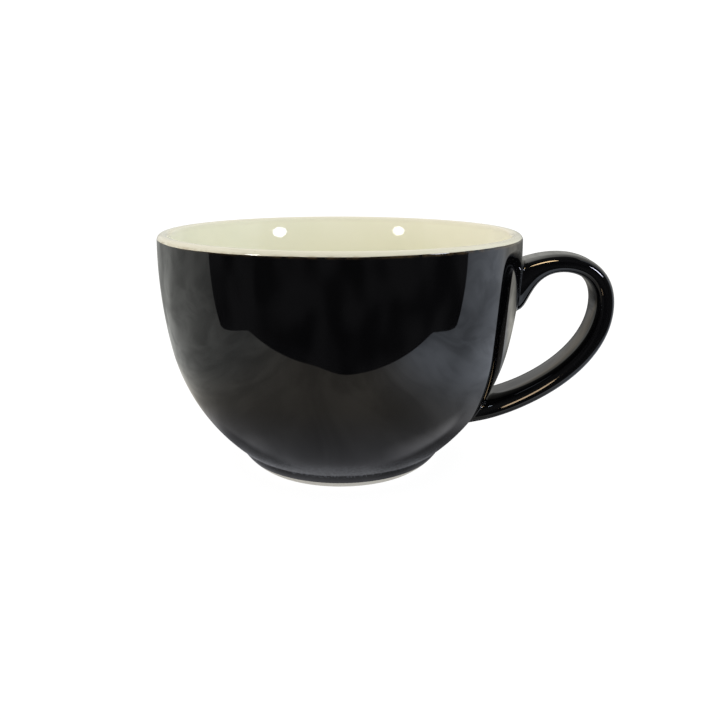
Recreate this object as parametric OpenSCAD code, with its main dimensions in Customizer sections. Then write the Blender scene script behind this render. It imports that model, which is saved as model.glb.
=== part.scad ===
// Latte cup: a round-bellied bowl on a low foot ring, with a looped strap handle, glazed in two colours.
// The cup stands on the plane z = 0, its axis is Z and the handle points along +X. Millimetres.

/* [Bowl] */
// Outside diameter at the lip
rim_d = 110; // [108:0.5:112]
// Height from the foot's land to the top of the lip
height = 72.8; // [71.4:0.2:74.4]
// Wall thickness at the lip, glaze included
lip_t = 3.6; // [3.2:0.1:4.2]
// Radius of the belly's curve, seen from the side
belly_r = 58.9; // [58.2:0.1:59.6]
// Height of the belly curve's centre above the foot
belly_z = 50.3; // [49.8:0.1:50.8]
// Distance of the belly curve's centre behind the axis
belly_back = 5.2; // [4.8:0.1:5.6]
// Angle below level at which the belly turns into the upper wall
join_a = 10.7; // [9:0.1:13]
// Radius of the inside's egg-shaped curve, seen from the side
inner_r = 48; // [47:0.1:49]
// Height of the inner curve's centre above the foot
inner_z = 51.3; // [50.8:0.1:51.8]
// Distance of the inner curve's centre behind the axis
inner_back = 1; // [0.5:0.1:1.5]
// Slope of the inner wall where that curve turns into the straighter upper wall
inner_join_a = 13; // [12:0.1:14]
// Slope of the inner wall at the lip, where the wall thins outwards
lip_a = 20; // [17:0.5:23]
// Slope of the inner wall where that thinning starts
thin_a = 5; // [4:0.2:7]
// Radius of the curve along which the wall thins towards the lip
thin_r = 50; // [40:1:60]
// Height of the floor inside the cup
floor_z = 10; // [9:0.2:12]
// Radius of the curve between the floor and the inner wall
floor_fillet = 18; // [14:0.5:22]

/* [Foot] */
// Diameter of the foot where it meets the table
foot_d = 56.4; // [55:0.2:58]
// Radius of the foot ring's rounded side
foot_side_r = 15; // [14.6:0.1:15.6]
// Height of the centre of that rounding
foot_side_z = 12.4; // [12:0.1:12.8]
// Radius of the curve that fills the crease between the foot and the belly
crease_fillet = 1.2; // [0.8:0.1:1.8]
// Diameter of the recess under the foot
recess_d = 48.4; // [44:0.2:50]
// Depth of the recess under the foot
recess_h = 3.4; // [3:0.1:4]
// Radius of the curve round the recess's ceiling
recess_fillet = 2.4; // [1.6:0.1:2.6]
// Height of the bare clay at the foot
bare_h = 2.3; // [1.6:0.1:3]

/* [Glaze] */
// Thickness of every glaze coat
glaze_t = 0.35; // [0.25:0.05:0.5]
// Distance below the lip at which the dark coat starts
lip_band = 1.15; // [0.9:0.05:1.6]

/* [Handle] */
// Distance of the upper root from the cup's axis
root_x = 49.4; // [48.8:0.1:50]
// Height of the upper root
root_z = 58.7; // [57.5:0.1:59.9]
// Upward slope of the strap where it leaves the wall
root_a = 32.4; // [30:0.1:35]
// Reach of the curve that leaves the upper root
root_pull = 15.2; // [14:0.1:16.4]
// Distance of the strap's outermost point from the axis, at mid thickness
out_x = 80.2; // [78:0.1:83]
// Height of that outermost point
out_z = 51.1; // [49.7:0.1:52.5]
// Reach of the curve above the outermost point
out_pull_up = 16; // [14.8:0.1:17.2]
// Reach of the curve below the outermost point
out_pull_down = 17.2; // [16:0.1:18.4]
// Distance of the lower root from the axis
tail_x = 44.1; // [43.6:0.1:44.8]
// Height of the lower root
tail_z = 17.5; // [16.9:0.1:18.3]
// Upward slope of the strap where it leaves the lower root
tail_a = 13; // [10.6:0.1:15.4]
// Reach of the curve that leaves the lower root
tail_pull = 15.9; // [14.4:0.1:17.4]
// Width of the strap across its middle
strap_w = 15.6; // [14:0.2:18]
// Share by which the strap's lower end is wider on its outer side, fading out towards the upper end
strap_taper = 0.07; // [0:0.01:0.15]
// Extra width of the strap at both roots
root_spread = 2; // [0:0.1:4]
// Thickness of the strap at its upper end, without the flare
strap_t_top = 5; // [4.4:0.1:5.6]
// Thickness of the strap at its lower end
strap_t_low = 6.5; // [5.8:0.1:7.2]
// Extra depth of the flare under the upper root
flare = 8.2; // [7.2:0.1:9.2]
// Share of the strap's length over which the flare fades
flare_len = 0.108; // [0.096:0.001:0.12]
// Thickness of the slip that joins the handle to the bowl, beyond the glaze
slip_t = 0.5; // [0.3:0.05:0.8]

/* [Hidden] */
$fn = 96;
rim_r = rim_d/2;
foot_r = foot_d/2;
recess_r = recess_d/2;
lip_r = lip_t/2;
lip_z = height - lip_r;
lip_c = [rim_r - lip_r, lip_z];
belly_c = [-belly_back, belly_z];
join_n = [cos(join_a), -sin(join_a)];
inner_c = [-inner_back, inner_z];
inner_n = [cos(inner_join_a), -sin(inner_join_a)];
foot_c = [foot_r - sqrt(pow(foot_side_r, 2) - pow(foot_side_z, 2)), foot_side_z];
band_a = asin((lip_r - lip_band)/lip_r);
lip_end = 168 - lip_a;
land_edge = 0.5;

// Radius of the arc that leaves a circle of radius r about c, in the direction n, and ends at the point q
function tangent_r(c, r, n, q) = let (p = q - c - r*n) -(p*p)/(2*(p*n));
wall_r = tangent_r(belly_c, belly_r, join_n, [rim_r, lip_z]);
wall_c = belly_c + (belly_r - wall_r)*join_n;
thin_c = lip_c + (thin_r - lip_r)*[cos(lip_a), -sin(lip_a)];
bore_q = thin_c + thin_r*[-cos(thin_a), sin(thin_a)];
bore_r = tangent_r(inner_c, inner_r, inner_n, bore_q);
bore_c = inner_c + (inner_r - bore_r)*inner_n;

// Centre of the floor's fillet, and the angle at which it meets the inner curve
fillet_z = floor_z + floor_fillet;
fillet_dist = inner_r - floor_fillet;
fillet_a = asin((inner_z - fillet_z)/fillet_dist);
fillet_c = [inner_c[0] + fillet_dist*cos(fillet_a), fillet_z];

// n + 1 points on an arc about c, from angle a0 to angle a1
function arc(c, r, a0, a1, n) = [for (i = [0:n]) let (a = a0 + (a1 - a0)*i/n) c + r*[cos(a), sin(a)]];
// The same points without the first one, to carry on from an arc that ends there
function arc_on(c, r, a0, a1, n) = [for (i = [1:n]) let (a = a0 + (a1 - a0)*i/n) c + r*[cos(a), sin(a)]];
// The list in the opposite order
function back(p) = [for (i = [len(p) - 1:-1:0]) p[i]];
// Angle at which a circle of radius r about c reaches height z, on its outer side
function at_height(c, r, z) = asin((z - c[1])/r);

// The point where circles about the foot's and the belly's centres cross, each grown by e
function crease(e) =
    let (r0 = belly_r + e, r1 = foot_side_r + e, v = foot_c - belly_c, d = norm(v), u = v/d,
         m = (r0*r0 - r1*r1 + d*d)/(2*d))
    belly_c + m*u + sqrt(r0*r0 - m*m)*[-u[1], u[0]];
function angle_of(v) = atan2(v[1], v[0]);

// Outside of the bowl from height z up to the lip's centre, at an offset e from the finished surface
crease_c = crease(crease_fillet);
function outside(e, z) = concat(
    arc(foot_c, foot_side_r + e, at_height(foot_c, foot_side_r + e, z), angle_of(crease_c - foot_c), 6),
    arc_on(crease_c, crease_fillet - e, angle_of(foot_c - crease_c), angle_of(belly_c - crease_c), 4),
    arc_on(belly_c, belly_r + e, angle_of(crease_c - belly_c), -join_a, 22),
    arc_on(wall_c, wall_r + e, -join_a, at_height(wall_c, wall_r + e, lip_z), 16));

// Inside of the bowl from the lip down to the axis, at a depth e below the finished surface
function inside(e) = concat(
    arc(thin_c, thin_r - e, 180 - lip_a, 180 - thin_a, 10),
    arc_on(bore_c, bore_r + e, angle_of(bore_q - bore_c), -inner_join_a, 12),
    arc_on(inner_c, inner_r + e, -inner_join_a, -fillet_a, 18),
    arc_on(fillet_c, floor_fillet + e, -fillet_a, -90, 8),
    [[0, floor_z - e]]);

// Recess under the foot, from the axis outwards, at a depth e below the finished surface
function recess(e) = concat(
    [[0, recess_h + e]],
    arc([recess_r - recess_fillet, recess_h - recess_fillet], recess_fillet + e, 90, 0, 8));

// Half section of the fired clay
function bowl_points() = concat(
    recess(glaze_t),
    [[recess_r, recess_h - recess_fillet], [recess_r, land_edge], [recess_r + land_edge, 0]],
    arc(foot_c, foot_side_r, at_height(foot_c, foot_side_r, 0), at_height(foot_c, foot_side_r, bare_h), 3),
    outside(-glaze_t, bare_h),
    arc_on(lip_c, lip_r - glaze_t, 0, band_a, 3),
    arc_on(lip_c, lip_r - glaze_t, band_a, lip_end, 11),
    inside(glaze_t));

// Filled half section of the cup at an offset e, used to trim what is joined to the wall
function fill_points(e) = concat(
    [[0, bare_h]],
    outside(e, bare_h),
    [[0, lip_z]]);

// The handle's centreline: two curves that share an upright tangent at the outermost point
root_p = [root_x, root_z];
root_d = [cos(root_a), sin(root_a)];
out_p = [out_x, out_z];
tail_p = [tail_x, tail_z];
tail_d = [cos(tail_a), sin(tail_a)];
function cubic(p, q, r, s, t) = p*pow(1 - t, 3) + 3*q*t*pow(1 - t, 2) + 3*r*t*t*(1 - t) + s*pow(t, 3);
function cubic_d(p, q, r, s, t) = 3*(q - p)*pow(1 - t, 2) + 6*(r - q)*t*(1 - t) + 3*(s - r)*t*t;
function mid(s) =
    s < 0 ? root_p + 6*root_pull*s*root_d :
    s > 1 ? tail_p - 6*tail_pull*(s - 1)*tail_d :
    s < 0.5 ? cubic(root_p, root_p + root_pull*root_d, out_p + [0, out_pull_up], out_p, 2*s) :
    cubic(out_p, out_p - [0, out_pull_down], tail_p + tail_pull*tail_d, tail_p, 2*s - 1);
function along(s) =
    s < 0 ? root_d :
    s > 1 ? -tail_d :
    let (d = s < 0.5 ? cubic_d(root_p, root_p + root_pull*root_d, out_p + [0, out_pull_up], out_p, 2*s)
                     : cubic_d(out_p, out_p - [0, out_pull_down], tail_p + tail_pull*tail_d, tail_p, 2*s - 1))
    d/norm(d);

// Size of the strap's section at a share s of its length
function clamp01(s) = max(0, min(1, s));
function half_t(s) = (strap_t_top + (strap_t_low - strap_t_top)*clamp01(s))/2;
function under_t(s) = half_t(s) + flare*exp(-pow(clamp01(s)/flare_len, 2));
function half_w(s) = (strap_w + root_spread*(exp(-pow(clamp01(s)/0.12, 2))
                      + exp(-pow(clamp01(1 - s)/0.12, 2))))/2;

// One ring of the strap's section, a rounded and slightly tapered oblong, drawn in by a depth e
sides = 24;
squareness = 3.8;
function bulge(c) = sign(c)*pow(abs(c), 2/squareness);
function ring(s, e) =
    let (m = mid(s), d = along(s), n = [-d[1], d[0]], hi = half_t(s) - e, lo = under_t(s) - e, w = half_w(s) - e)
    [for (k = [0:sides - 1])
        let (a = 360*k/sides, u = bulge(cos(a)), p = m + n*u*(u > 0 ? hi : lo))
        [p[0], w*bulge(sin(a))*(1 + strap_taper*clamp01(s)*u), p[1]]];

rings = 60;
s_first = -0.08;
s_last = 1.12;
function ring_s(i) = s_first + (s_last - s_first)*i/rings;
upper_end = 11;
lower_start = 48;

// Two triangles for each cell between neighbouring rings; flip turns the skin inside out
function skin(count, base, flip) = [for (i = [0:count - 1], k = [0:sides - 1])
    let (a = base + i*sides + k, b = base + i*sides + (k + 1)%sides, c = a + sides, d = b + sides)
    each flip ? [[a, c, b], [b, c, d]] : [[a, b, c], [b, d, c]]];
function fan(base, flip) = [for (k = [1:sides - 2])
    flip ? [base, base + k, base + k + 1] : [base, base + k + 1, base + k]];
function collar(one, two, flip) = [for (k = [0:sides - 1]) let (j = (k + 1)%sides)
    each flip ? [[one + k, one + j, two + k], [one + j, two + j, two + k]]
              : [[one + k, two + k, one + j], [one + j, two + k, two + j]]];

// Solid strap between two rings, drawn in by a depth e
module strap(first, last, e) {
    count = last - first;
    polyhedron(
        points = [for (i = [first:last]) each ring(ring_s(i), e)],
        faces = concat(skin(count, 0, false), fan(0, false), fan(count*sides, true)),
        convexity = 6);
}

// Hollow coat on the strap, from its surface down to a depth e
module strap_coat(e) {
    total = (rings + 1)*sides;
    polyhedron(
        points = concat([for (i = [0:rings]) each ring(ring_s(i), 0)], [for (i = [0:rings]) each ring(ring_s(i), e)]),
        faces = concat(skin(rings, 0, false), skin(rings, total, true),
                       collar(0, total, false), collar(rings*sides, total + rings*sides, true)),
        convexity = 8);
}

// A body of revolution whose seam lies opposite the handle
module turned(points) {
    rotate([0, 0, 180]) rotate_extrude() polygon(points);
}

module filled_cup(e) {
    turned(fill_points(e));
}

// Fired clay body with its foot ring
module bowl() {
    color([0.80, 0.76, 0.68])
    turned(bowl_points());
}

// Cream lining, carried over the lip
module inner_glaze() {
    color([0.87, 0.85, 0.74])
    turned(concat(
        arc(lip_c, lip_r, band_a, lip_end, 11),
        inside(0),
        back(inside(glaze_t)),
        back(arc(lip_c, lip_r - glaze_t, band_a, lip_end, 11))));
}

// Dark coat on the bowl, open where the handle is joined
module outer_glaze() {
    color([0.06, 0.06, 0.065])
    difference() {
        turned(concat(
            outside(0, bare_h),
            arc_on(lip_c, lip_r, 0, band_a, 3),
            back(concat(outside(-glaze_t, bare_h), arc_on(lip_c, lip_r - glaze_t, 0, band_a, 3)))));
        strap(0, upper_end, glaze_t);
        strap(lower_start, rings, glaze_t);
    }
}

// Dark coat inside the recess under the foot
module base_glaze() {
    color([0.08, 0.08, 0.085])
    turned(concat(recess(0), back(recess(glaze_t))));
}

// Clay strap, its ends cut to the bowl's curve
module handle() {
    color([0.78, 0.74, 0.66])
    difference() {
        strap(0, rings, glaze_t);
        filled_cup(slip_t);
    }
}

// Dark coat on the strap
module handle_glaze() {
    color([0.06, 0.06, 0.065])
    difference() {
        strap_coat(glaze_t);
        filled_cup(0);
    }
}

// Slip between one end of the strap and the bowl
module slip_pad(first, last) {
    intersection() {
        strap(first, last, glaze_t);
        difference() {
            filled_cup(slip_t);
            filled_cup(-glaze_t);
        }
    }
}

module upper_slip_joint() {
    color([0.74, 0.70, 0.62])
    slip_pad(0, upper_end);
}

module lower_slip_joint() {
    color([0.74, 0.70, 0.62])
    slip_pad(lower_start, rings);
}

bowl();
inner_glaze();
outer_glaze();
base_glaze();
handle();
handle_glaze();
upper_slip_joint();
lower_slip_joint();
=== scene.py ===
# Looks of a latte cup: black glaze outside, cream glaze inside, a bare foot ring and a looped strap handle.
# The cup stands on z = 0 with its axis on Z, and the handle points along +X. Metres and degrees.
import math

import bpy
import numpy as np
from mathutils import Matrix, Vector


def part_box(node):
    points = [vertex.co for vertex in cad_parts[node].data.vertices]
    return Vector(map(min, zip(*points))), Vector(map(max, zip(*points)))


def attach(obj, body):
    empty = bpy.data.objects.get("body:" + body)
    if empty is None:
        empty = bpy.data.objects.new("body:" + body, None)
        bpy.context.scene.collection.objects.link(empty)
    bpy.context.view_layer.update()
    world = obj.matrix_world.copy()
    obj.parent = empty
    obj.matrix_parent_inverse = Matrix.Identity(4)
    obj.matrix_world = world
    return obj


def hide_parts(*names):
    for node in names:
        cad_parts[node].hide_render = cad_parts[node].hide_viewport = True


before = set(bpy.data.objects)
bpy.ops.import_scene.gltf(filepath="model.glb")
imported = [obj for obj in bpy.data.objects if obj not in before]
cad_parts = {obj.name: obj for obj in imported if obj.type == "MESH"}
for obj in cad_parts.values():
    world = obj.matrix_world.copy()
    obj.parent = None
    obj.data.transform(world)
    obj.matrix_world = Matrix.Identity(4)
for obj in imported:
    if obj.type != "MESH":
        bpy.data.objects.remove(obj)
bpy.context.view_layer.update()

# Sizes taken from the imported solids
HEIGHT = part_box("inner_glaze")[1].z
BARE_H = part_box("outer_glaze")[0].z

# Bowl, outside
RIM_R = 0.055
LIP_R = 0.0018
BELLY_R = 0.0589
BELLY_C = np.array([-0.0052, 0.0503])
JOIN_A = 10.7
FOOT_R = 0.0282
FOOT_SIDE_R = 0.015
FOOT_SIDE_Z = 0.0124
CREASE_FILLET = 0.0012

# Bowl, inside
INNER_R = 0.048
INNER_C = np.array([-0.001, 0.0513])
INNER_JOIN_A = 13.0
LIP_A = 20.0
THIN_A = 5.0
THIN_R = 0.05
FLOOR_Z = 0.01
FLOOR_FILLET = 0.018

# Recess under the foot
RECESS_R = 0.0242
RECESS_H = 0.0034
RECESS_FILLET = 0.0024
LAND_EDGE = 0.0005

# Glaze
GLAZE_T = 0.00035
LIP_BAND = 0.00115
LIP_WANDER = 0.00011
FOOT_WANDER = 0.00018
FOOT_BLEND = 0.002

# Handle
ROOT_P = np.array([0.0494, 0.0587])
ROOT_A = 32.4
ROOT_PULL = 0.0152
OUT_P = np.array([0.0802, 0.0511])
OUT_PULL_UP = 0.016
OUT_PULL_DOWN = 0.0172
TAIL_P = np.array([0.0441, 0.0175])
TAIL_A = 13.0
TAIL_PULL = 0.0159
STRAP_W = 0.0156
STRAP_TAPER = 0.07
ROOT_SPREAD = 0.002
SPREAD_LEN = 0.12
STRAP_T_TOP = 0.0050
STRAP_T_LOW = 0.0065
FLARE = 0.0082
FLARE_LEN = 0.108
SQUARENESS = 3.8
ROOT_FILLET = 0.0011
FILLET_LEG_MAX = 0.0026
FILLET_SINK = 0.000004

# Mesh: how fine it is, how much closer its rows lie at the handle's ends, and from which angles edges are sharp
STEP = 0.0008
ARC_STEP = 5.0
AROUND = 300
STRAP_AROUND = 112
STRAP_ALONG = 260
FILLET_STEPS = 10
LIP_POINTS = 24
BAND_POINTS = 8
END_EASE = 0.09
SHARP_TURNED = 40
SHARP_COAT = 60
DOUBLED = 1e-8

# Finding where the strap meets the bowl: a step in height, and then, as shares of the strap's length, a step along
# it and a free and a buried place beside either root. A run past its ends is as fast as at them.
SLOPE_STEP = 0.0004
SHARE_STEP = 0.002
UPPER_SEARCH = (0.3, -0.08)
LOWER_SEARCH = (0.7, 1.12)
HALVINGS = 48
END_SPEED = 6

# Camera: its distance from the cup's axis, its turn round the axis from straight in front, and where it aims
CAMERA_DIST = 0.23
CAMERA_HEIGHT = 0.09465
CAMERA_TURN = 5.94
CAMERA_PITCH = 15.406
CAMERA_YAW = 1.5
CAMERA_ROLL = -0.195
SENSOR = 36.0
LENS = 36.93
CLIP_START = 0.01


def unit(v):
    return v / np.linalg.norm(v)


def turn(degrees):
    a = math.radians(degrees)
    return np.array([math.cos(a), math.sin(a)])


def angle_of(v):
    return math.degrees(math.atan2(v[1], v[0]))


def arc(centre, radius, start, end):
    """Points on an arc from one angle to another, at most about STEP and ARC_STEP degrees apart."""
    length = abs(math.radians(end - start)) * radius
    count = 1 + int(max(length / STEP, abs(end - start) / ARC_STEP, 2))
    a = np.radians(np.linspace(start, end, count + 1))
    return np.asarray(centre) + radius * np.stack([np.cos(a), np.sin(a)], 1)


def line(a, b):
    """Points from a to b, about STEP apart."""
    count = max(1, int(np.linalg.norm(np.subtract(b, a)) / STEP))
    t = np.linspace(0, 1, count + 1)[:, None]
    return (1 - t) * np.asarray(a, float) + t * np.asarray(b, float)


def chain(*runs):
    """Runs of points joined end to end, without doubled points."""
    points = np.concatenate(runs)
    keep = np.r_[True, np.linalg.norm(np.diff(points, axis=0), axis=1) > DOUBLED]
    return points[keep]


def tangent_r(centre, radius, normal, point):
    """Radius of the arc that leaves a circle in the direction normal and ends at the point."""
    p = point - centre - radius * normal
    return -(p @ p) / (2 * (p @ normal))


LIP_C = np.array([RIM_R - LIP_R, HEIGHT - LIP_R])
JOIN_N = turn(-JOIN_A)
WALL_R = tangent_r(BELLY_C, BELLY_R, JOIN_N, np.array([RIM_R, LIP_C[1]]))
WALL_C = BELLY_C + (BELLY_R - WALL_R) * JOIN_N
FOOT_C = np.array([FOOT_R - math.sqrt(FOOT_SIDE_R**2 - FOOT_SIDE_Z**2), FOOT_SIDE_Z])
THIN_C = LIP_C + (THIN_R - LIP_R) * turn(-LIP_A)
BORE_Q = THIN_C + THIN_R * turn(180 - THIN_A)
INNER_N = turn(-INNER_JOIN_A)
BORE_R = tangent_r(INNER_C, INNER_R, INNER_N, BORE_Q)
BORE_C = INNER_C + (INNER_R - BORE_R) * INNER_N
FILLET_A = math.degrees(math.asin((INNER_C[1] - FLOOR_Z - FLOOR_FILLET) / (INNER_R - FLOOR_FILLET)))
FILLET_C = INNER_C + (INNER_R - FLOOR_FILLET) * turn(-FILLET_A)
BAND_A = math.degrees(math.asin((LIP_R - LIP_BAND) / LIP_R))
LIP_END = 180 - LIP_A
RECESS_C = np.array([RECESS_R - RECESS_FILLET, RECESS_H - RECESS_FILLET])


def crease(e):
    """Where circles about the belly's and the foot's centres cross, each grown by e."""
    r0, r1 = BELLY_R + e, FOOT_SIDE_R + e
    v = FOOT_C - BELLY_C
    d = np.linalg.norm(v)
    u = v / d
    m = (r0 * r0 - r1 * r1 + d * d) / (2 * d)
    return BELLY_C + m * u + math.sqrt(r0 * r0 - m * m) * np.array([-u[1], u[0]])


def at_height(centre, radius, z):
    return math.degrees(math.asin((z - centre[1]) / radius))


def outside(e, z):
    """The bowl's outside, grown by e, from height z up to the lip's centre. Glaze fills the crease."""
    pool = crease(CREASE_FILLET)
    low, high = angle_of(FOOT_C - pool), angle_of(BELLY_C - pool)
    return chain(
        arc(FOOT_C, FOOT_SIDE_R + e, at_height(FOOT_C, FOOT_SIDE_R + e, z), angle_of(pool - FOOT_C)),
        arc(pool, CREASE_FILLET - e, low, high),
        arc(BELLY_C, BELLY_R + e, angle_of(pool - BELLY_C), -JOIN_A),
        arc(WALL_C, WALL_R + e, -JOIN_A, at_height(WALL_C, WALL_R + e, LIP_C[1])),
    )


def inside(e):
    """The bowl's inside from the lip down to the axis, at a depth e below the finished surface."""
    return chain(
        arc(THIN_C, THIN_R - e, LIP_END, 180 - THIN_A),
        arc(BORE_C, BORE_R + e, angle_of(BORE_Q - BORE_C), -INNER_JOIN_A),
        arc(INNER_C, INNER_R + e, -INNER_JOIN_A, -FILLET_A),
        arc(FILLET_C, FLOOR_FILLET + e, -FILLET_A, -90),
        line((FILLET_C[0], FLOOR_Z - e), (0, FLOOR_Z - e)),
    )


def recess(e):
    """The recess from the axis out to the land, at a depth e below the finished surface."""
    return chain(
        line((0, RECESS_H + e), (RECESS_C[0], RECESS_H + e)),
        arc(RECESS_C, RECESS_FILLET + e, 90, 0),
    )


def wander(phi, waves):
    """The sum of the waves at the azimuth phi in radians."""
    return sum(w * math.sin(n * phi + shift) for n, w, shift in waves)


# Waves round the cup: how many in a turn, weight and shift
LIP_WAVES = [
    (1, 1.4, math.pi / 2),
    (2, 0.6, math.pi / 2),
    (2, -1.2, 0),
    (3, 0.34, 0.4),
    (7, 0.26, 1.9),
    (13, 0.22, 4.1),
    (29, 0.13, 0.9),
    (53, 0.08, 2.2),
]
FOOT_WAVES = [(2, 0.4, 1.1), (5, 0.3, 3.0), (11, 0.2, 0.2), (23, 0.15, 2.6)]


def band_angle(phi):
    """Angle on the lip at which the two glazes meet, at the azimuth phi in radians."""
    return BAND_A + math.degrees(LIP_WANDER * wander(phi, LIP_WAVES) / LIP_R)


def foot_line(phi):
    """Height at which the black glaze starts above the foot."""
    return BARE_H + FOOT_WANDER * (1 + wander(phi, FOOT_WAVES)) / 2


def new_object(name, verts, faces, sharp=None):
    mesh = bpy.data.meshes.new(name)
    mesh.from_pydata([tuple(v) for v in verts], [], faces)
    mesh.validate()
    mesh.shade_smooth()
    if sharp is not None:
        mesh.set_sharp_from_angle(angle=math.radians(sharp))
    obj = bpy.data.objects.new(name, mesh)
    bpy.context.scene.collection.objects.link(obj)
    return obj


def lathe(name, section, loop):
    """A body of revolution. section(phi) gives the same number of points for every azimuth, anticlockwise in
    (r, z). A loop is closed on itself; any other section starts and ends on the axis."""
    rows = [section(2 * math.pi * k / AROUND) for k in range(AROUND)]
    count = len(rows[0])
    ring = np.array(rows)
    phi = np.arange(AROUND) * 2 * math.pi / AROUND
    x = ring[:, :, 0] * np.cos(phi)[:, None]
    y = ring[:, :, 0] * np.sin(phi)[:, None]
    grid = np.stack([x, y, ring[:, :, 1]], 2)
    if loop:
        verts = grid.reshape(-1, 3)
        faces = []
        for k in range(AROUND):
            a, b = k * count, (k + 1) % AROUND * count
            for i in range(count):
                j = (i + 1) % count
                faces.append((a + i, b + i, b + j, a + j))
        return new_object(name, verts, faces, SHARP_TURNED)
    inner = count - 2
    poles = [[0, 0, ring[0, 0, 1]], [0, 0, ring[0, -1, 1]]]
    verts = np.concatenate([grid[:, 1:-1].reshape(-1, 3), poles])
    first, last = AROUND * inner, AROUND * inner + 1
    faces = []
    for k in range(AROUND):
        a, b = k * inner, (k + 1) % AROUND * inner
        faces.append((first, b, a))
        for i in range(inner - 1):
            faces.append((a + i, b + i, b + i + 1, a + i + 1))
        faces.append((last, a + inner - 1, b + inner - 1))
    return new_object(name, verts, faces, SHARP_TURNED)


def lip_run(radius, start, end, count):
    """Points round the lip's centre from one angle to another."""
    a = np.radians(np.linspace(start, end, count))
    return LIP_C + radius * np.stack([np.cos(a), np.sin(a)], 1)


OUTSIDE_SKIN = outside(0, BARE_H)
OUTSIDE_UNDER = outside(-GLAZE_T, BARE_H)
INSIDE_SKIN = inside(0)
INSIDE_UNDER = inside(GLAZE_T)
RECESS_SKIN = recess(0)
RECESS_UNDER = recess(GLAZE_T)


def from_foot(points, phi):
    """The outside's points with its lowest ones moved up to the foot line."""
    r, z = points.T
    moved = z + np.clip(1 - (z - BARE_H) / FOOT_BLEND, 0, 1) * (foot_line(phi) - BARE_H)
    return np.stack([np.interp(moved, z, r), moved], 1)


def black_section(phi):
    band = band_angle(phi)
    up = from_foot(OUTSIDE_SKIN, phi)
    under = from_foot(OUTSIDE_UNDER, phi)
    skin_lip = lip_run(LIP_R, 0, band, BAND_POINTS)[1:]
    under_lip = lip_run(LIP_R - GLAZE_T, 0, band, BAND_POINTS)[1:]
    return np.concatenate([up, skin_lip, under_lip[::-1], under[::-1]])


def cream_section(phi):
    band = band_angle(phi)
    under_lip = lip_run(LIP_R - GLAZE_T, band, LIP_END, LIP_POINTS)[:-1]
    skin_lip = lip_run(LIP_R, band, LIP_END, LIP_POINTS)[:-1]
    return np.concatenate([INSIDE_UNDER[::-1], under_lip[::-1], skin_lip, INSIDE_SKIN])


def base_section(phi):
    return np.concatenate([RECESS_SKIN, RECESS_UNDER[::-1]])


def clay_section(phi):
    land = chain(
        line((RECESS_R, RECESS_C[1]), (RECESS_R, LAND_EDGE)),
        arc((RECESS_R + LAND_EDGE, LAND_EDGE), LAND_EDGE, 180, 270),
        line((RECESS_R + LAND_EDGE, 0), (FOOT_R, 0)),
        arc(FOOT_C, FOOT_SIDE_R, *(at_height(FOOT_C, FOOT_SIDE_R, z) for z in (0, BARE_H))),
    )
    lip = lip_run(LIP_R - GLAZE_T, 0, LIP_END, LIP_POINTS)[1:-1]
    return np.concatenate([RECESS_UNDER, land, OUTSIDE_UNDER, lip, INSIDE_UNDER])


def out_radius(z):
    """Radius of the bowl's finished outside at a height."""
    return np.interp(z, OUTSIDE_SKIN[:, 1], OUTSIDE_SKIN[:, 0])


def out_normal(p):
    """Outward normal of the bowl's outside beside the point p."""
    slope = (out_radius(p[2] + SLOPE_STEP) - out_radius(p[2] - SLOPE_STEP)) / (2 * SLOPE_STEP)
    e = unit(np.array([p[0], p[1], 0]))
    return unit(e - np.array([0, 0, slope]))


def onto_bowl(p):
    """The point p moved level onto the bowl's outside."""
    e = unit(np.array([p[0], p[1], 0]))
    return e * out_radius(p[2]) + np.array([0, 0, p[2]])


ROOT_D = turn(ROOT_A)
TAIL_D = turn(TAIL_A)
UPPER = [ROOT_P, ROOT_P + ROOT_PULL * ROOT_D, OUT_P + np.array([0, OUT_PULL_UP]), OUT_P]
LOWER = [OUT_P, OUT_P - np.array([0, OUT_PULL_DOWN]), TAIL_P + TAIL_PULL * TAIL_D, TAIL_P]


def cubic(p, t):
    return p[0] * (1 - t)**3 + 3 * p[1] * t * (1 - t)**2 + 3 * p[2] * t * t * (1 - t) + p[3] * t**3


def cubic_d(p, t):
    return 3 * (p[1] - p[0]) * (1 - t)**2 + 6 * (p[2] - p[1]) * t * (1 - t) + 3 * (p[3] - p[2]) * t * t


def middle(s):
    """Point on the strap's centreline and the direction there, for a share s of its length."""
    if s < 0:
        return ROOT_P + END_SPEED * ROOT_PULL * s * ROOT_D, ROOT_D
    if s > 1:
        return TAIL_P - END_SPEED * TAIL_PULL * (s - 1) * TAIL_D, -TAIL_D
    if s < 0.5:
        return cubic(UPPER, 2 * s), unit(cubic_d(UPPER, 2 * s))
    return cubic(LOWER, 2 * s - 1), unit(cubic_d(LOWER, 2 * s - 1))


def bulge(c):
    """Turns a circle's cosine or sine into the rounded square's."""
    return math.copysign(abs(c)**(2 / SQUARENESS), c)


def strap_point(s, a):
    """Point on the strap's finished surface at a share s of its length and an angle a round its section."""
    m, d = middle(s)
    n = np.array([-d[1], d[0]])
    c = min(1, max(0, s))
    top = (STRAP_T_TOP + (STRAP_T_LOW - STRAP_T_TOP) * c) / 2
    under = top + FLARE * math.exp(-(c / FLARE_LEN)**2)
    spread = math.exp(-(c / SPREAD_LEN)**2) + math.exp(-((1 - c) / SPREAD_LEN)**2)
    half_w = (STRAP_W + ROOT_SPREAD * spread) / 2
    u = bulge(math.cos(a))
    p = m + n * u * (top if u > 0 else under)
    return np.array([p[0], half_w * bulge(math.sin(a)) * (1 + STRAP_TAPER * c * u), p[1]])


def clearance(p):
    """How far the point p stands off the bowl's outside."""
    return math.hypot(p[0], p[1]) - out_radius(p[2])


def landing(a, free, buried):
    """Share of the length at which the strap's line at angle a goes into the bowl."""
    for _ in range(HALVINGS):
        half = (free + buried) / 2
        if clearance(strap_point(half, a)) > 0:
            free = half
        else:
            buried = half
    return free


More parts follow.
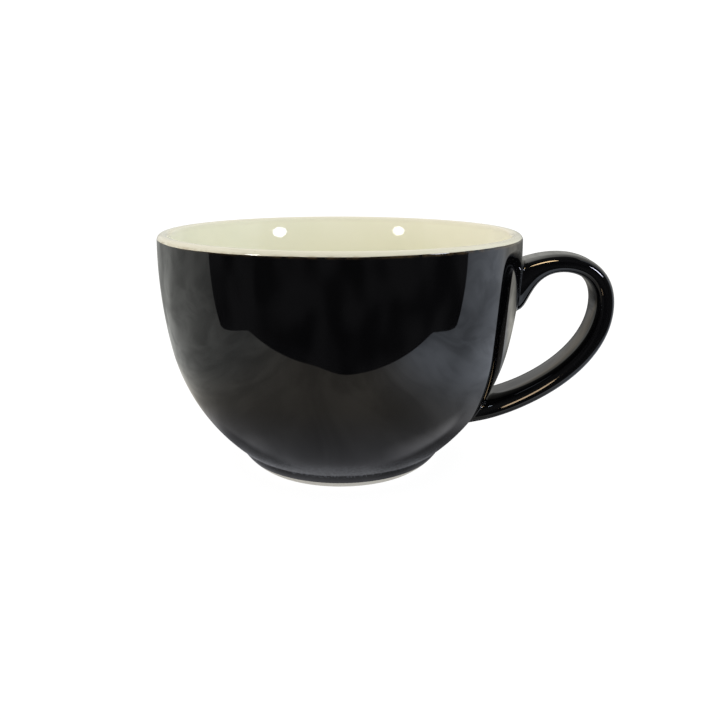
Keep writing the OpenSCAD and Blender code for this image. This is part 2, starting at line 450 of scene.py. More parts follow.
def root_skirt(angles, free, buried):
    """The glaze fillet round one root: rings from bowl to strap, and where each strap line leaves it."""
    lands = [landing(a, free, buried) for a in angles]
    contact = np.array([strap_point(s, a) for s, a in zip(lands, angles)])
    count = len(angles)
    inward = math.copysign(1, buried - free)
    centre = contact.mean(0)
    starts, curves = [], []
    for k in range(count):
        c = contact[k]
        n = out_normal(c)
        along = unit(contact[(k + 1) % count] - contact[k - 1])
        away = unit(np.cross(along, n))
        if away @ (c - centre) < 0:
            away = -away
        rise = strap_point(lands[k] - inward * SHARE_STEP, angles[k]) - c
        up = unit(rise)
        opening = math.acos(max(-1, min(1, float(up @ away))))
        leg = min(FILLET_LEG_MAX, ROOT_FILLET / math.tan(opening / 2))
        speed = np.linalg.norm(rise) / SHARE_STEP
        start = lands[k] - inward * leg / speed
        starts.append(start)
        a = strap_point(start, angles[k])
        b = onto_bowl(c + away * leg) - n * FILLET_SINK
        t = np.linspace(0, 1, FILLET_STEPS + 1)[:, None]
        curves.append(b * (1 - t)**2 + c * 2 * t * (1 - t) + a * t**2)
    return np.array(curves).transpose(1, 0, 2), starts


def handle_coat():
    """The coat of the strap between the fillets at its two roots."""
    angles = np.arange(STRAP_AROUND) * 2 * math.pi / STRAP_AROUND
    upper, first = root_skirt(angles, *UPPER_SEARCH)
    lower, last = root_skirt(angles, *LOWER_SEARCH)
    t = np.linspace(0, 1, STRAP_ALONG + 1)
    ease = t - END_EASE * np.sin(2 * math.pi * t)
    lines = list(zip(angles, first, last))
    strap = [[strap_point(s0 + (s1 - s0) * u, a) for a, s0, s1 in lines] for u in ease[1:-1]]
    rings = np.concatenate([upper, np.array(strap), lower[::-1]])
    return shell("handle_coat", rings, GLAZE_T)


def grid_normals(rings):
    """Normals of a tube of rings."""
    along = np.gradient(rings, axis=0)
    round_ = np.roll(rings, -1, 1) - np.roll(rings, 1, 1)
    n = np.cross(round_, along)
    n /= np.linalg.norm(n, axis=2, keepdims=True)
    return n


def shell(name, rings, depth):
    """A closed coat: a tube of rings, a second one a depth below it, and a strip between them at either end."""
    normals = grid_normals(rings)
    rows, count = rings.shape[:2]
    if np.sum((rings - rings.mean(1, keepdims=True)) * normals) < 0:
        normals = -normals
    under = rings - normals * depth
    verts = np.concatenate([rings.reshape(-1, 3), under.reshape(-1, 3)])
    base = rows * count
    faces = []
    for i in range(rows - 1):
        for k in range(count):
            j = (k + 1) % count
            a, b = i * count + k, i * count + j
            c, d = b + count, a + count
            faces.append((d, c, b, a))
            faces.append((base + a, base + b, base + c, base + d))
    end = (rows - 1) * count
    for k in range(count):
        j = (k + 1) % count
        faces.append((j, base + j, base + k, k))
        faces.append((end + k, base + end + k, base + end + j, end + j))
    return new_object(name, verts, faces, SHARP_COAT)


class Shader:
    """A short way to write a material's nodes."""

    def __init__(self, name):
        self.material = bpy.data.materials.new(name)
        self.material.use_nodes = True
        self.tree = self.material.node_tree
        self.bsdf = self.tree.nodes["Principled BSDF"]
        self.position = self.add("ShaderNodeTexCoord").outputs["Object"]

    def add(self, kind, **settings):
        node = self.tree.nodes.new(kind)
        for key, value in settings.items():
            setattr(node, key, value)
        return node

    def put(self, socket, value):
        """Links an output to a socket, or sets the socket's own value."""
        if isinstance(value, bpy.types.NodeSocket):
            self.tree.links.new(value, socket)
        else:
            socket.default_value = value

    def axes(self):
        """The three coordinates of a place."""
        node = self.add("ShaderNodeSeparateXYZ")
        self.put(node.inputs["Vector"], self.position)
        return [node.outputs[axis] for axis in "XYZ"]

    def noise(self, scale, detail=2.0, roughness=0.5, vector=None, distortion=0.0):
        node = self.add("ShaderNodeTexNoise")
        self.put(node.inputs["Vector"], vector or self.position)
        settings = {"Scale": scale, "Detail": detail, "Roughness": roughness, "Distortion": distortion}
        for key, value in settings.items():
            node.inputs[key].default_value = value
        return node.outputs["Fac"]

    def stretch(self, factors):
        node = self.add("ShaderNodeMapping")
        self.put(node.inputs["Vector"], self.position)
        node.inputs["Scale"].default_value = factors
        return node.outputs["Vector"]

    def specks(self, scale, size):
        """1 inside small round specks scattered over the surface, else 0."""
        node = self.add("ShaderNodeTexVoronoi")
        self.put(node.inputs["Vector"], self.position)
        node.inputs["Scale"].default_value = scale
        return self.ramp(node.outputs["Distance"], size, size * SPECK_SOLID)

    def ramp(self, value, low, high, to_low=0.0, to_high=1.0):
        """A soft step from to_low, where the value is low, to to_high, where it is high."""
        node = self.add("ShaderNodeMapRange", interpolation_type="SMOOTHSTEP")
        keys = ("Value", "From Min", "From Max", "To Min", "To Max")
        for key, v in zip(keys, (value, low, high, to_low, to_high)):
            self.put(node.inputs[key], v)
        return node.outputs["Result"]

    def math(self, operation, a, b):
        node = self.add("ShaderNodeMath", operation=operation)
        self.put(node.inputs[0], a)
        self.put(node.inputs[1], b)
        return node.outputs["Value"]

    def product(self, first, *others):
        for other in others:
            first = self.math("MULTIPLY", first, other)
        return first

    def lifted(self, *factors):
        """1 plus the product of the factors."""
        return self.math("ADD", 1.0, self.product(*factors))

    def dimmed(self, *factors):
        """1 less the product of the factors."""
        return self.math("SUBTRACT", 1.0, self.product(*factors))

    def blend(self, factor, a, b):
        """Colour a where the factor is 0 and b where it is 1."""
        node = self.add("ShaderNodeMix", data_type="RGBA")
        self.put(node.inputs[0], factor)
        for socket, colour in ((node.inputs[6], a), (node.inputs[7], b)):
            self.put(socket, colour if isinstance(colour, bpy.types.NodeSocket) else (*colour, 1.0))
        return node.outputs[2]

    def distance(self, centre, scale):
        """Distance from a point, each axis scaled first."""
        offset = self.add("ShaderNodeVectorMath", operation="SUBTRACT")
        self.put(offset.inputs[0], self.position)
        offset.inputs[1].default_value = centre
        scaled = self.add("ShaderNodeVectorMath", operation="MULTIPLY")
        self.put(scaled.inputs[0], offset.outputs["Vector"])
        scaled.inputs[1].default_value = scale
        length = self.add("ShaderNodeVectorMath", operation="LENGTH")
        self.put(length.inputs[0], scaled.outputs["Vector"])
        return length.outputs["Value"]

    def radius(self):
        """Distance from the cup's axis."""
        return self.distance(ORIGIN, FLAT)

    def bump(self, height, distance, below=None):
        node = self.add("ShaderNodeBump")
        node.inputs["Strength"].default_value = 1.0
        node.inputs["Distance"].default_value = distance
        self.put(node.inputs["Height"], height)
        if below is not None:
            self.put(node.inputs["Normal"], below)
        return node.outputs["Normal"]

    def surface(self, **values):
        for key, value in values.items():
            self.put(self.bsdf.inputs[key.replace("_", " ")], value)
        return self.material

    def shine(self, colour, strength):
        """A surface that only gives light, and no samples are spent on looking for it."""
        self.surface(Base_Color=NO_LIGHT, Roughness=1.0, IOR=1.0)
        self.surface(Emission_Color=colour, Emission_Strength=strength)
        self.material.cycles.emission_sampling = "NONE"
        return self.material


# Where distances are measured from, and the scales that leave out the height, or all but X
ORIGIN = (0, 0, 0)
FLAT = (1, 1, 0)
ALONG_X = (1, 0, 0)

# Colours of the glazes, the clay and the studio
NO_LIGHT = (0, 0, 0, 1)
WHITE = (1, 1, 1, 1)
BLACK = (0.0014, 0.0014, 0.0017)
BLACK_DEEP = (0.0009, 0.0009, 0.0012)
BLACK_THIN = (0.060, 0.040, 0.020)
# Grey of the streaks above the foot: matt glaze, and also a painted reflection of the floor
BLACK_FOOT_STREAK_AND_SHEEN = (0.032, 0.035, 0.040)
CREAM = (0.805, 0.795, 0.640)
CREAM_DEEP = (0.785, 0.780, 0.615)
# Greyer top of the lip: thinner glaze, and painted shade
CREAM_THIN_AND_SHADED = (0.71, 0.69, 0.555)
CREAM_FRINGE = (0.35, 0.27, 0.16)
CREAM_SPECK = (0.25, 0.19, 0.12)
CLAY = (0.49, 0.48, 0.445)
CLAY_DARK = (0.48, 0.45, 0.39)
CLAY_SPECK = (0.3, 0.25, 0.19)
SLIP = (0.60, 0.55, 0.47)
BLACK_IOR = 1.45
CREAM_IOR = 1.5

# A grain is a noise's scale, or its scale, detail and roughness, and specks have a scale and a size.
# The other tuples are soft steps: from, to, and what these two give if that isn't 0 and 1.
SPECK_SOLID = 0.5
BREAK_GRAIN = (420, 3)
BLACK_DRIFT_GRAIN = 34
BLACK_DRIFT = (0.35, 0.7)
BLACK_THIN_BAND = 0.0019
BLACK_BREAK = (0.30, 0.72)
BLACK_MATT_GRAIN = (120, 4, 0.6)
BLACK_MATT = (0.3, 0.75, 0.02, 0.045)
BLACK_WAVE_GRAIN = (42, 1)
BLACK_WAVE_DEPTH = 0.00004
BLACK_PEEL_GRAIN = 500
BLACK_PEEL_DEPTH = 0.0000005
STREAK_GRAIN = (1500, 2, 0.6)
STREAK_STRETCH = (1, 1, 0.16)
STREAK_JAG = (0.35, 0.65, -0.0011, 0.0011)
STREAK_TOP = (0.0125, 0.008)
STREAK_LOW = (0.0054, 0.0062, 0.05, 1.0)
STREAK_PALE_AND_SHEEN = (0.42, 0.58)
STREAK_MATT = (0.4, 0.7, 0.02, 0.16)
STREAK_MATT_TOP = (0.011, 0.004)
CREAM_DRIFT_GRAIN = (55, 3)
CREAM_DRIFT = (0.3, 0.7)
CREAM_THIN_SHADED_BAND = 0.0022
CREAM_FRINGE_IN = 0.0004
CREAM_FRINGE_OUT = 0.0001
CREAM_FRINGE_SHARE = 0.5
CREAM_BREAK = (0.3, 0.75)
CREAM_SPECKS = (150, 0.035)
CREAM_SPECK_SHARE = 0.35
CREAM_MATT_GRAIN = (150, 4, 0.6)
CREAM_MATT = (0.3, 0.75, 0.03, 0.075)
CREAM_WAVE_GRAIN = (60, 1)
CREAM_WAVE_DEPTH = 0.00003
CREAM_PEEL_GRAIN = 800
CREAM_PEEL_DEPTH = 0.000001
CLAY_GRAIN = (1500, 4, 0.65)
CLAY_DRIFT = (0.3, 0.75)
CLAY_SPECKS = (700, 0.12)
CLAY_SPECK_SHARE = 0.5
CLAY_GRAIN_DEPTH = 0.00004
CLAY_MATT_GRAIN = 300
CLAY_MATT = (0.3, 0.7, 0.72, 0.9)


def black_glaze():
    """Black glaze, brown where it thins at the lip, and with a band of pale grey matt streaks above the foot whose
    grey is also a painted reflection of the floor.
    """
    s = Shader("black_glaze")
    z = s.axes()[2]
    colour = s.blend(s.ramp(s.noise(BLACK_DRIFT_GRAIN), *BLACK_DRIFT), BLACK, BLACK_DEEP)
    edge = s.ramp(z, HEIGHT - BLACK_THIN_BAND, HEIGHT - LIP_BAND)
    edge = s.product(edge, s.ramp(s.noise(*BREAK_GRAIN), *BLACK_BREAK))
    colour = s.blend(edge, colour, BLACK_THIN)
    # Band above the foot: matt streaky glaze, its grey colour also a painted reflection of the floor
    streak = s.noise(*STREAK_GRAIN, s.stretch(STREAK_STRETCH))
    jagged = s.math("ADD", z, s.ramp(streak, *STREAK_JAG))
    band = s.product(s.ramp(z, *STREAK_TOP), s.ramp(jagged, *STREAK_LOW), s.ramp(streak, *STREAK_PALE_AND_SHEEN))
    colour = s.blend(band, colour, BLACK_FOOT_STREAK_AND_SHEEN)
    matt = s.product(s.ramp(z, *STREAK_MATT_TOP), s.ramp(streak, *STREAK_MATT))
    rough = s.math("ADD", s.ramp(s.noise(*BLACK_MATT_GRAIN), *BLACK_MATT), matt)
    normal = s.bump(s.noise(*BLACK_WAVE_GRAIN), BLACK_WAVE_DEPTH)
    normal = s.bump(s.noise(BLACK_PEEL_GRAIN), BLACK_PEEL_DEPTH, normal)
    return s.surface(Base_Color=colour, Roughness=rough, IOR=BLACK_IOR, Normal=normal)


def cream_glaze():
    """Cream glaze with a few brown specks, greyer at the lip, where thinner glaze and painted shade on the lip's
    top both darken it, and brown where it meets the black.
    """
    s = Shader("cream_glaze")
    z = s.axes()[2]
    colour = s.blend(s.ramp(s.noise(*CREAM_DRIFT_GRAIN), *CREAM_DRIFT), CREAM, CREAM_DEEP)
    # The lip's top made greyer: thinner glaze, and painted shade
    colour = s.blend(s.ramp(z, HEIGHT - CREAM_THIN_SHADED_BAND, HEIGHT), colour, CREAM_THIN_AND_SHADED)
    fringe = s.ramp(s.radius(), RIM_R - CREAM_FRINGE_IN, RIM_R - CREAM_FRINGE_OUT)
    fringe = s.product(fringe, s.ramp(s.noise(*BREAK_GRAIN), *CREAM_BREAK), CREAM_FRINGE_SHARE)
    colour = s.blend(fringe, colour, CREAM_FRINGE)
    colour = s.blend(s.product(s.specks(*CREAM_SPECKS), CREAM_SPECK_SHARE), colour, CREAM_SPECK)
    rough = s.ramp(s.noise(*CREAM_MATT_GRAIN), *CREAM_MATT)
    normal = s.bump(s.noise(*CREAM_WAVE_GRAIN), CREAM_WAVE_DEPTH)
    normal = s.bump(s.noise(CREAM_PEEL_GRAIN), CREAM_PEEL_DEPTH, normal)
    return s.surface(Base_Color=colour, Roughness=rough, IOR=CREAM_IOR, Normal=normal)


def bare_clay(name, pale, dark):
    """Fired clay without glaze."""
    s = Shader(name)
    grain = s.noise(*CLAY_GRAIN)
    colour = s.blend(s.ramp(grain, *CLAY_DRIFT), pale, dark)
    colour = s.blend(s.product(s.specks(*CLAY_SPECKS), CLAY_SPECK_SHARE), colour, CLAY_SPECK)
    rough = s.ramp(s.noise(CLAY_MATT_GRAIN), *CLAY_MATT)
    return s.surface(Base_Color=colour, Roughness=rough, Normal=s.bump(grain, CLAY_GRAIN_DEPTH))


clay = bare_clay("bare_clay", CLAY, CLAY_DARK)
slip = bare_clay("fired_slip", SLIP, CLAY_DARK)
black = black_glaze()
cream = cream_glaze()


def dress(obj, material, slot_name, *nodes):
    """Gives a piece its material and its body, and hides the CAD nodes that it stands for. The slot name is not
    used.
    """
    obj.data.materials.clear()
    obj.data.materials.append(material)
    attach(obj, "root")
    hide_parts(*nodes)


dress(lathe("clay_body", clay_section, False), clay, "clay", "bowl")
dress(lathe("cream_lining", cream_section, False), cream, "cream_glaze", "inner_glaze")
dress(lathe("black_coat", black_section, True), black, "black_glaze", "outer_glaze")
dress(lathe("base_coat", base_section, False), black, "black_glaze", "base_glaze")
dress(handle_coat(), black, "black_glaze", "handle_glaze")
for node_name, material in (("handle", clay), ("upper_slip_joint", slip), ("lower_slip_joint", slip)):
    node_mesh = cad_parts[node_name].data
    node_mesh.materials.clear()
    node_mesh.materials.append(material)


# Studio, turned about the cup together with the camera
STUDIO_TURN = 4.53
CUP_MIDDLE = Vector((0, 0, 0.05))


def turned(place, degrees):
    return Matrix.Rotation(math.radians(degrees), 3, "Z") @ Vector(place)


def only_in_reflections(obj):
    """Leaves an object to the gloss of the cup, so that it neither shows nor casts a shadow in any view."""
    obj.visible_camera = False
    obj.visible_diffuse = False
    obj.visible_transmission = False
    obj.visible_shadow = False
    obj.visible_volume_scatter = False


# Floor
FLOOR_HALF = 1.2
FLOOR_GREY = (0.12, 0.12, 0.12, 1.0)
FLOOR_GLOW = 0.95
FLOOR_ROUGH = 0.9
FLOOR_IOR = 1.1


def floor():
    """A plain white sheet. The cup's gloss sees the tent below instead."""
    s = Shader("floor_sheet")
    s.surface(Base_Color=FLOOR_GREY, Roughness=FLOOR_ROUGH, IOR=FLOOR_IOR)
    s.surface(Emission_Color=WHITE, Emission_Strength=FLOOR_GLOW)
    s.material.cycles.emission_sampling = "NONE"
    half = FLOOR_HALF
    corners = [(-half, -half, 0), (half, -half, 0), (half, half, 0), (-half, half, 0)]
    obj = new_object("floor", corners, [(0, 1, 2, 3)])
    obj.data.materials.append(s.material)
    obj.visible_glossy = False


floor()

# Tent: its section, its front edge, how far it lies above the floor, and every which point of the section it keeps
TENT_HALF = 0.26
TENT_BEND = 0.12
TENT_TOP = 0.45
TENT_BACK = 0.34
TENT_FRONT_LEFT = -0.120
TENT_FRONT_RIGHT = -0.111
TENT_FRONT_STEP = (-0.03, 0.01)
TENT_SIDE_FRONT = -0.073
TENT_SIDE_STEP = (0.130, 0.166)
TENT_LIFT = 0.0001
TENT_KEEP = 8

# Colours of the light painted on the tent's cloth, brighter and bluer on the right, and the soft steps in X, in Y
# and from the axis between them
TENT_LEFT = (0.66, 0.67, 0.64)
TENT_MIDDLE = (0.67, 0.62, 0.54)
TENT_BEHIND = (0.66, 0.66, 0.65)
TENT_FOOT = (0.70, 0.71, 0.76)
TENT_RIGHT = (1.00, 1.08, 1.22)
TENT_RIGHT_MIDDLE = (0.92, 0.90, 0.82)
TENT_RIGHT_BACK = (0.55, 0.55, 0.52)
RIGHT_MIDDLE_Y = (0.02, 0.13)
RIGHT_BACK_Y = (0.16, 0.34)
MIDDLE_X = (-0.12, -0.03)
BEHIND_Y = (0.02, 0.06)
BEHIND_X = (-0.02, 0.03)
RIGHT_X = (0.02, 0.10)
FOOT_NEAR = (0.075, 0.035)

# Painted brightness of the tent's cloth: soft steps that multiply it, and how deep or strong the local ones are.
# They paint shade round the cup and in the cloth's folds and creases, a pool of lamp light, and a darker low back
# and right side
SHADE = (0.034, 0.110, 0.52, 1.0)
LIT_RING = (0.031, 0.040, 1.36, 1.0)
FOLD_GRAIN = (13, 2, 0.5)
FOLD_STRETCH = (1, 1, 0.7)
FOLD_SHADE = (0.3, 0.7, 0.82, 1.12)
CREASE_GRAIN = (30, 3, 0.55)
CREASE_STRETCH = (1, 0.4, 0.5)
CREASE_TWIST = 1.2
CREASE_SHADE = (0.33, 0.67, 0.84, 1.14)
SHADOW_MIDDLE = (0.03, 0.10, 0)
SHADOW_SCALE = (1, 0.67, 0)
SHADOW = (0.04, 0.12, 0.2, 1.0)
LAMP_POOL_MIDDLE = (0.092, -0.092, 0)
LAMP_POOL = (0.05, 0.015, 1.0, 1.35)
FLOOR_RIGHT_X = (0.05, 0.10)
FLOOR_RIGHT_Z = (0.03, 0.0)
FLOOR_RIGHT_DEPTH = 0.14
BACK_X = (-0.02, 0.06, 0.5, 1.0)
BACK_Y = (0.12, 0.20)
BACK_Z = (0.0, 0.15, -0.70, 0.12)
HIGH_RIGHT_X = (0.06, 0.20)
HIGH_RIGHT_Z = (0.06, 0.20)
HIGH_RIGHT_DEPTH = 0.35

# The shadow that the cup casts on the cloth round its foot, and the lit cloth just in front of that shadow
CAST_MIDDLE = (0, 0.0357, 0)
CAST_EDGE = (0.0712, 0.0660)
CAST_FAR = (0.055, 0.042)
CAST_NEAR = (0.030, 0.034, 0.5, 1.0)
CAST_BESIDE = (0.006, 0.020)
CAST_DEPTH = 0.56
GLINT_FAR = (0.082, 0.072)
GLINT_EDGE = (0.066, 0.0715)
GLINT_X = (0.008, 0.034)
GLINT_Y = (-0.010, -0.022)
GLINT_STRENGTH = 1.15
GLINT_LEFT_MIDDLE = (-0.033, -0.029, 0)
GLINT_LEFT = (0.010, 0.003, 1.0, 1.25)


# Painted light of the cloth: painted shadows of the cup, painted shade in folds and creases, and a painted pool of
# lamp light
def tent_light():
    s = Shader("tent_painted_light")
    x, y, z = s.axes()
    radius = s.radius()
    right = s.blend(s.ramp(y, *RIGHT_MIDDLE_Y), TENT_RIGHT, TENT_RIGHT_MIDDLE)
    right = s.blend(s.ramp(y, *RIGHT_BACK_Y), right, TENT_RIGHT_BACK)
    colour = s.blend(s.ramp(x, *MIDDLE_X), TENT_LEFT, TENT_MIDDLE)
    colour = s.blend(s.product(s.ramp(y, *BEHIND_Y), s.ramp(x, *BEHIND_X)), colour, TENT_BEHIND)
    colour = s.blend(s.ramp(x, *RIGHT_X), colour, right)
    colour = s.blend(s.ramp(radius, *FOOT_NEAR), colour, TENT_FOOT)
    off_cast = s.distance(CAST_MIDDLE, FLAT)
    near_foot = s.product(s.ramp(radius, *CAST_FAR), s.ramp(radius, *CAST_NEAR))
    beside = s.ramp(s.distance(ORIGIN, ALONG_X), *CAST_BESIDE)
    in_front = s.product(s.ramp(off_cast, *GLINT_FAR), s.ramp(off_cast, *GLINT_EDGE))
    crease_shade = s.noise(*CREASE_GRAIN, s.stretch(CREASE_STRETCH), CREASE_TWIST)
    strength = s.product(
        s.ramp(radius, *SHADE),
        s.ramp(radius, *LIT_RING),
        s.ramp(s.noise(*FOLD_GRAIN, s.stretch(FOLD_STRETCH)), *FOLD_SHADE),
        s.ramp(crease_shade, *CREASE_SHADE),
        s.ramp(s.distance(SHADOW_MIDDLE, SHADOW_SCALE), *SHADOW),
        s.ramp(s.distance(LAMP_POOL_MIDDLE, FLAT), *LAMP_POOL),
        s.dimmed(s.ramp(x, *FLOOR_RIGHT_X), s.ramp(z, *FLOOR_RIGHT_Z), FLOOR_RIGHT_DEPTH),
        s.lifted(s.ramp(x, *BACK_X), s.ramp(y, *BACK_Y), s.ramp(z, *BACK_Z)),
        s.dimmed(s.ramp(x, *HIGH_RIGHT_X), s.ramp(z, *HIGH_RIGHT_Z), HIGH_RIGHT_DEPTH),
        s.dimmed(s.ramp(off_cast, *CAST_EDGE), near_foot, beside, CAST_DEPTH),
        s.lifted(in_front, s.ramp(x, *GLINT_X), s.ramp(y, *GLINT_Y), GLINT_STRENGTH),
        s.ramp(s.distance(GLINT_LEFT_MIDDLE, FLAT), *GLINT_LEFT),
    )
    return s.shine(colour, strength)


def smooth(value, low, high):
    """0 below low, 1 above high and a soft step between them."""
    t = min(1, max(0, (value - low) / (high - low)))
    return t * t * (3 - 2 * t)


def tent():
    """The white cloth trough that the cup's gloss reflects: a floor that bends up into two walls and a back. Its
    cloth glows with painted light and painted shade.
    """
    section = chain(
        line((-TENT_HALF, TENT_TOP), (-TENT_HALF, TENT_BEND)),
        arc((TENT_BEND - TENT_HALF, TENT_BEND), TENT_BEND, 180, 270),
        line((TENT_BEND - TENT_HALF, 0), (TENT_HALF - TENT_BEND, 0)),
        arc((TENT_HALF - TENT_BEND, TENT_BEND), TENT_BEND, 270, 360),
        line((TENT_HALF, TENT_BEND), (TENT_HALF, TENT_TOP)),
    )[::TENT_KEEP]
    verts, faces = [], []
    for x, z in section:
        front = TENT_FRONT_LEFT + (TENT_FRONT_RIGHT - TENT_FRONT_LEFT) * smooth(x, *TENT_FRONT_STEP)
        front += (TENT_SIDE_FRONT - front) * smooth(abs(x), *TENT_SIDE_STEP)
        low = z + TENT_LIFT
        verts += [(x, front, low), (x, TENT_BACK, low), (x, TENT_BACK, TENT_TOP)]
    for i in range(len(section) - 1):
        a, b = 3 * i, 3 * i + 3
        faces += [(a, b, b + 1, a + 1), (a + 1, b + 1, b + 2, a + 2)]
    obj = new_object("tent", verts, faces)
    obj.rotation_euler.z = math.radians(STUDIO_TURN)
    obj.data.materials.append(tent_light())
    only_in_reflections(obj)


tent()

# Dark room
ROOM_R = 1.5
ROOM_ROWS = 12
ROOM_COLUMNS = 24
ROOM_TINT = (1, 1, 1.05, 1)
ROOM_GRAIN = (2.2, 1.0)
ROOM_DIM = (0.36, 0.64, 0.035, 0.105)


def dark_room():
    """A dim shell round the studio, so that gloss shows the dark front and ceiling of the place."""
    verts, faces = [], []
    for i in range(ROOM_ROWS + 1):
        t = math.pi * i / ROOM_ROWS
        for k in range(ROOM_COLUMNS):
            p = 2 * math.pi * k / ROOM_COLUMNS
            spoke = ROOM_R * math.sin(t)
            verts.append((spoke * math.cos(p), spoke * math.sin(p), ROOM_R * math.cos(t)))
    for i in range(ROOM_ROWS):
        for k in range(ROOM_COLUMNS):
            j = (k + 1) % ROOM_COLUMNS
            a, b = i * ROOM_COLUMNS, (i + 1) * ROOM_COLUMNS
            faces.append((a + k, b + k, b + j, a + j))
    obj = new_object("dark_room", verts, faces)
    s = Shader("dark_room_light")
    obj.data.materials.append(s.shine(ROOM_TINT, s.ramp(s.noise(*ROOM_GRAIN), *ROOM_DIM)))
    only_in_reflections(obj)


dark_room()


def glow(name, colour):
    """Light added to what lies behind, so that a lamp leaves no dark spot in gloss that it doesn't reach."""
    material = bpy.data.materials.new(name)
    material.use_nodes = True
    tree = material.node_tree
    tree.nodes.clear()
    out = tree.nodes.new("ShaderNodeOutputMaterial")
    emission = tree.nodes.new("ShaderNodeEmission")
    emission.inputs["Color"].default_value = (*colour, 1.0)
    clear = tree.nodes.new("ShaderNodeBsdfTransparent")
    both = tree.nodes.new("ShaderNodeAddShader")
    tree.links.new(emission.outputs["Emission"], both.inputs[0])
    tree.links.new(clear.outputs["BSDF"], both.inputs[1])
    tree.links.new(both.outputs["Shader"], out.inputs["Surface"])
    material.cycles.emission_sampling = "NONE"
    return material


def lamp(name, place, radius, tall, colour, pieces):
    """An oval lamp facing the cup, tall times as high as wide, that shows only in the gloss of the pieces."""
    facing = (CUP_MIDDLE - place).to_track_quat("-Z", "Y")
    spokes = [2 * math.pi * k / LAMP_SPOKES for k in range(LAMP_SPOKES)]
    verts = [place + facing @ Vector((radius * math.cos(p), tall * radius * math.sin(p), 0)) for p in spokes]
    obj = new_object(name, verts, [tuple(range(LAMP_SPOKES))])
    obj.data.materials.append(glow(name + "_light", colour))
    receivers = bpy.data.collections.new(name + "_reach")
    for piece in pieces:
        receivers.objects.link(bpy.data.objects[piece])
    obj.light_linking.receiver_collection = receivers
    only_in_reflections(obj)


def seen_at(point, azimuth, elevation, distance):
    """The place at a distance from a point, azimuth measured from straight in front towards the handle."""
    a, e = math.radians(azimuth), math.radians(elevation)
    ahead = Vector((math.sin(a) * math.cos(e), -math.cos(a) * math.cos(e), math.sin(e)))
    return Vector(point) + distance * ahead


# Lamps. The handle's stand in front of points on its near side.
LAMP_SPOKES = 24
BOWL_PIECES = ["cream_lining", "black_coat"]
HANDLE_PIECES = ["handle_coat"]
ARCH = (0.061, -0.008, 0.065)
ARCH_END = (0.077, -0.008, 0.062)
LOWER_RUN = (0.059, -0.008, 0.024)
LOWER_ROOT = (0.0475, -0.0082, 0.0197)
RIGHT_LAMP = turned((0.157, -0.098, 0.165), STUDIO_TURN)
LEFT_LAMP = turned((-0.209, -0.174, 0.21), STUDIO_TURN)

# Each lamp's name, place, radius, height over width, colour and the pieces whose gloss it reaches
LAMPS = [
    ("right_lamp", RIGHT_LAMP, 0.021, 1.0, (14, 15, 17), BOWL_PIECES),
    ("left_lamp", LEFT_LAMP, 0.025, 1.0, (15, 15, 15), BOWL_PIECES),
    ("arch_lamp", seen_at(ARCH, 8.8, 29, 0.6), 0.031, 3.8, (33, 24, 13.5), HANDLE_PIECES),
    ("run_lamp", seen_at(LOWER_RUN, 3.4, 0.1, 0.1), 0.0026, 1.0, (13, 9.6, 6.2), HANDLE_PIECES),
    ("side_lamp", seen_at(ARCH_END, 24, 5.5, 0.6), 0.046, 1.0, (46, 47, 56), HANDLE_PIECES),
    ("root_lamp", seen_at(LOWER_ROOT, -4.5, 30, 0.042), 0.0014, 1.0, (22, 25, 29), HANDLE_PIECES),
]
for values in LAMPS:
    lamp(*values)

# Dark card
CARD_HALF = 0.18
CARD_Y = -0.2
CARD_TOP = 0.11


def dark_card():
    """A black card in front of the cup that takes light off the near side of the lip and shows in no view."""
    ends = [(-CARD_HALF, 0.0), (CARD_HALF, 0.0), (CARD_HALF, CARD_TOP), (-CARD_HALF, CARD_TOP)]
    corners = [turned((x, CARD_Y, z), STUDIO_TURN) for x, z in ends]
    obj = new_object("dark_card", corners, [(0, 1, 2, 3)])
    s = Shader("dark_card_face")
    obj.data.materials.append(s.surface(Base_Color=NO_LIGHT, Roughness=1.0, IOR=1.0))
    obj.visible_camera = False
    obj.visible_glossy = False


dark_card()

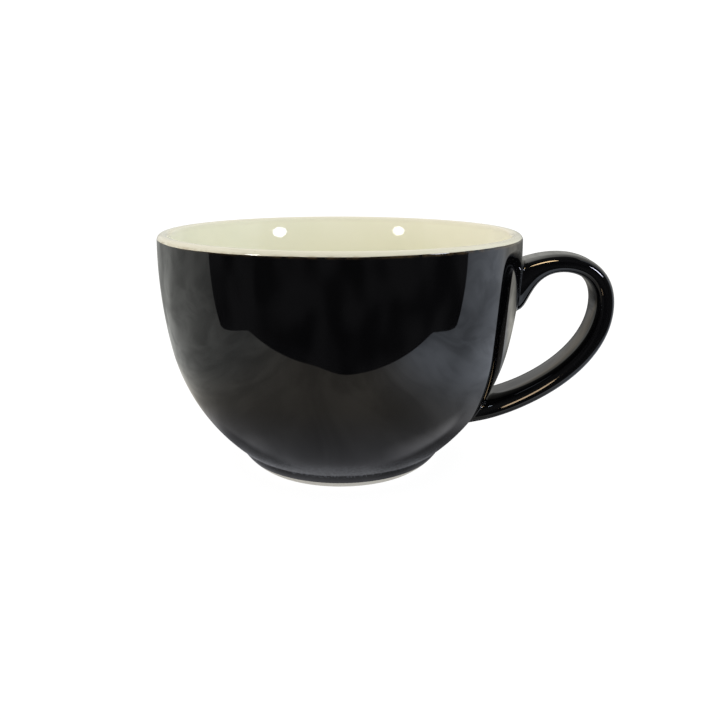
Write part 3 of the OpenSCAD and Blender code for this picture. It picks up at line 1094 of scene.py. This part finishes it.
# Sky
SKY_LEFT = (0.86, 0.77, 0.737)
SKY_MIDDLE = (1.0, 0.985, 0.965)
SKY_RIGHT = (0.737, 0.79, 0.85)
SKY_STRENGTH = 1.36


def white_room():
    """Light from all round, a little warmer from the left and cooler from the right."""
    world = bpy.data.worlds.new("white_room")
    bpy.context.scene.world = world
    world.use_nodes = True
    nodes, links = world.node_tree.nodes, world.node_tree.links
    sky = nodes["Background"]
    sky.inputs["Strength"].default_value = SKY_STRENGTH
    direction = nodes.new("ShaderNodeTexCoord")
    axes = nodes.new("ShaderNodeSeparateXYZ")
    across = nodes.new("ShaderNodeMapRange")
    across.inputs["From Min"].default_value = -1.0
    tint = nodes.new("ShaderNodeValToRGB")
    stops = tint.color_ramp.elements
    stops[0].color = (*SKY_LEFT, 1.0)
    stops[1].color = (*SKY_RIGHT, 1.0)
    stops.new(0.5).color = (*SKY_MIDDLE, 1.0)
    links.new(direction.outputs["Generated"], axes.inputs["Vector"])
    links.new(axes.outputs["X"], across.inputs["Value"])
    links.new(across.outputs["Result"], tint.inputs["Fac"])
    links.new(tint.outputs["Color"], sky.inputs["Color"])


white_room()

view = bpy.context.scene.view_settings
view.view_transform = "Standard"
view.look = "None"


def place_camera():
    pitch, yaw = math.radians(CAMERA_PITCH), math.radians(CAMERA_YAW - CAMERA_TURN)
    ahead = Vector((math.sin(yaw) * math.cos(pitch), math.cos(yaw) * math.cos(pitch), -math.sin(pitch)))
    right = Vector((math.cos(yaw), -math.sin(yaw), 0))
    down = ahead.cross(right)
    roll = math.radians(CAMERA_ROLL)
    x = math.cos(roll) * right + math.sin(roll) * down
    y = math.sin(roll) * right - math.cos(roll) * down
    data = bpy.data.cameras.new("camera")
    data.sensor_width = SENSOR
    data.lens = LENS
    data.clip_start = CLIP_START
    obj = bpy.data.objects.new("camera", data)
    bpy.context.scene.collection.objects.link(obj)
    axes = Matrix((x, y, -ahead)).transposed()
    place = turned((0, -CAMERA_DIST, CAMERA_HEIGHT), CAMERA_TURN)
    obj.matrix_world = Matrix.Translation(place) @ axes.to_4x4()
    bpy.context.scene.camera = obj


place_camera()
